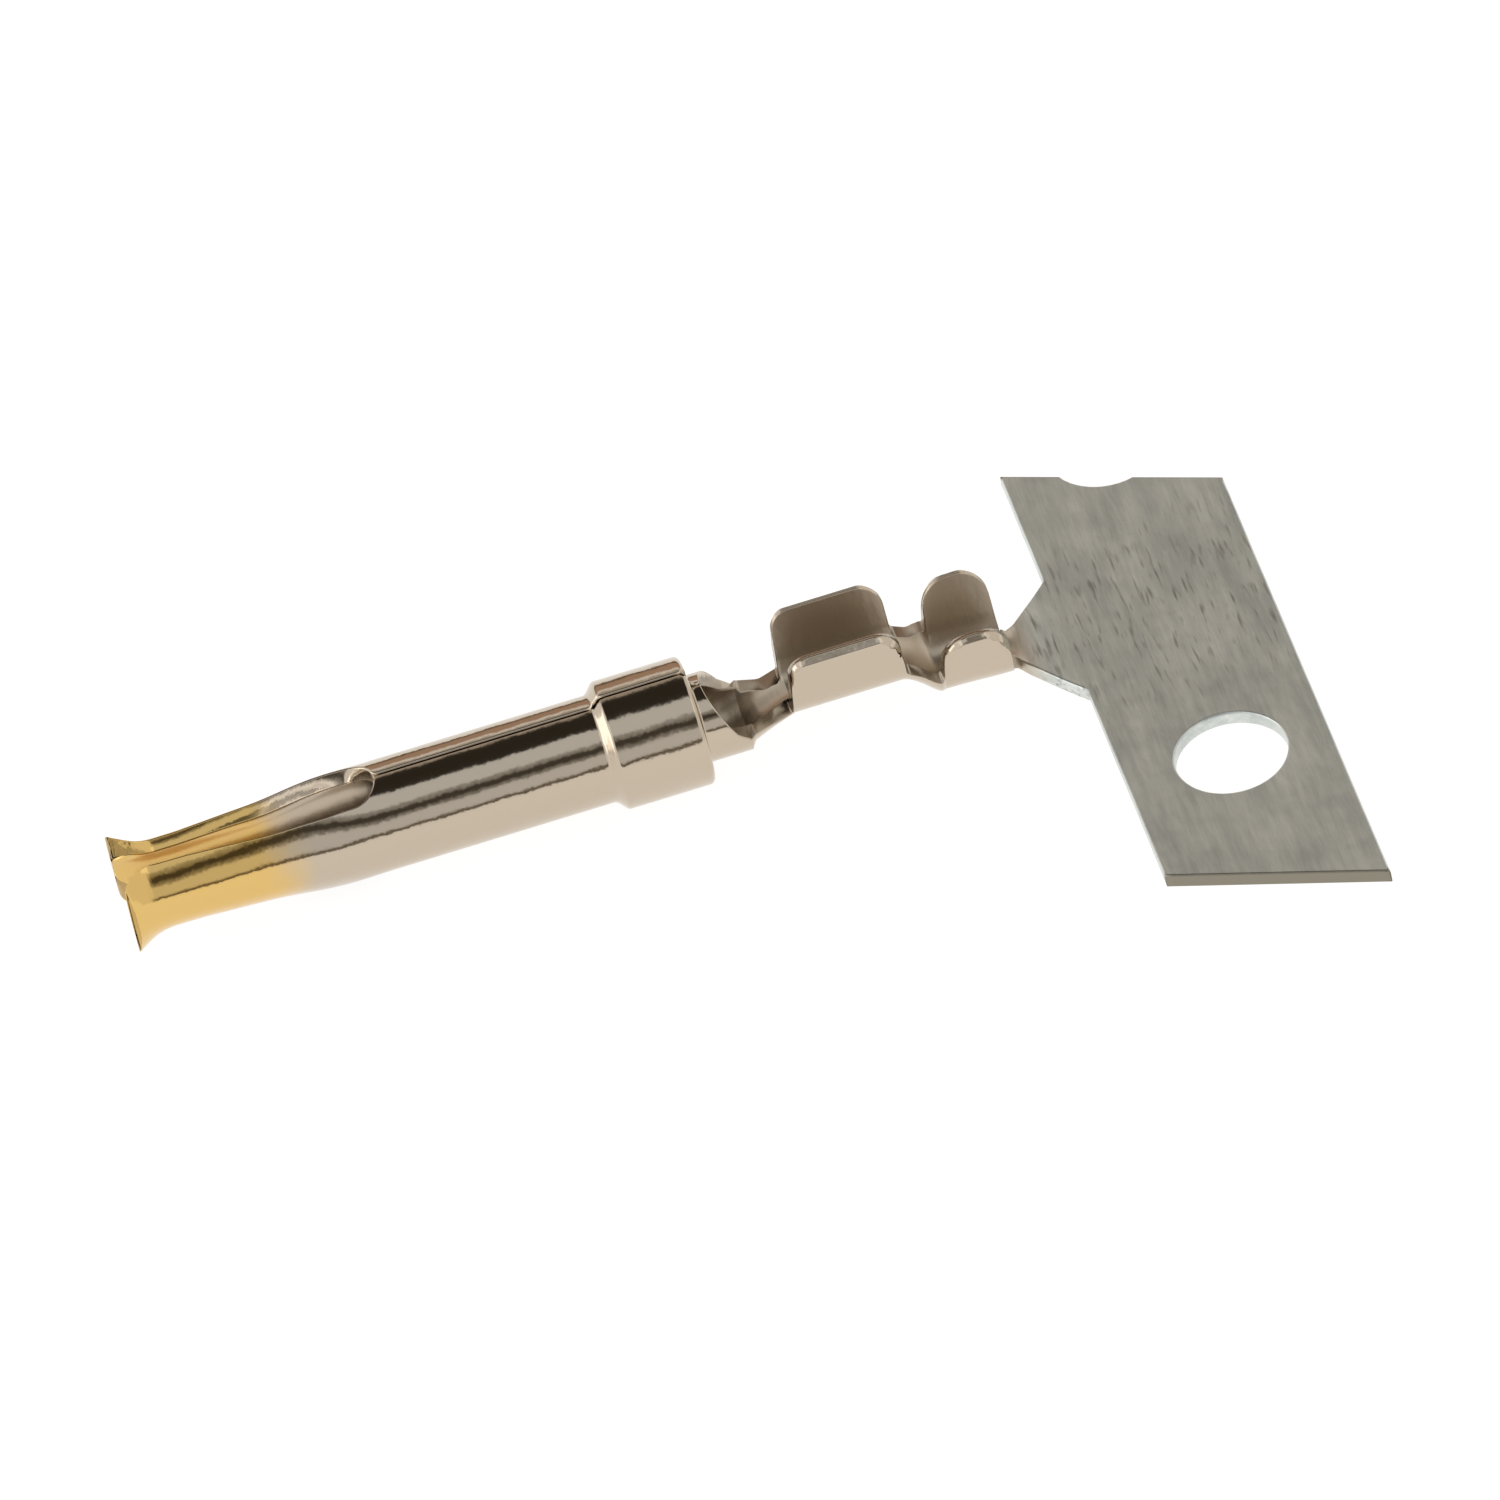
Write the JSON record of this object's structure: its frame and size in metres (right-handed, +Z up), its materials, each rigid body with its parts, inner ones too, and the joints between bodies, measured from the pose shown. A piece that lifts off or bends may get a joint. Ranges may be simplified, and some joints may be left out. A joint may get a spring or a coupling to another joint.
{
  "type": "d-sub socket contact",
  "caption": "Stamped and formed crimp socket contact for a D-sub connector, with split spring fingers, collar, open wire and insulation barrels, on a piece of carrier strip.",
  "frame": {"origin": "centre of the socket's mouth, on its axis", "axes": "+X along the socket from its mouth to the carrier strip, +Z up out of the open crimp barrels, +Y along the strip"},
  "size_m": [0.0196, 0.0118, 0.0023],
  "materials": {
    "plated_sheet": "copper alloy sheet under bright nickel plate, with gold plate on the mating fingers"
  },
  "bodies": {
    "root": {"contact": "plated_sheet"}
  },
  "joints": []
}
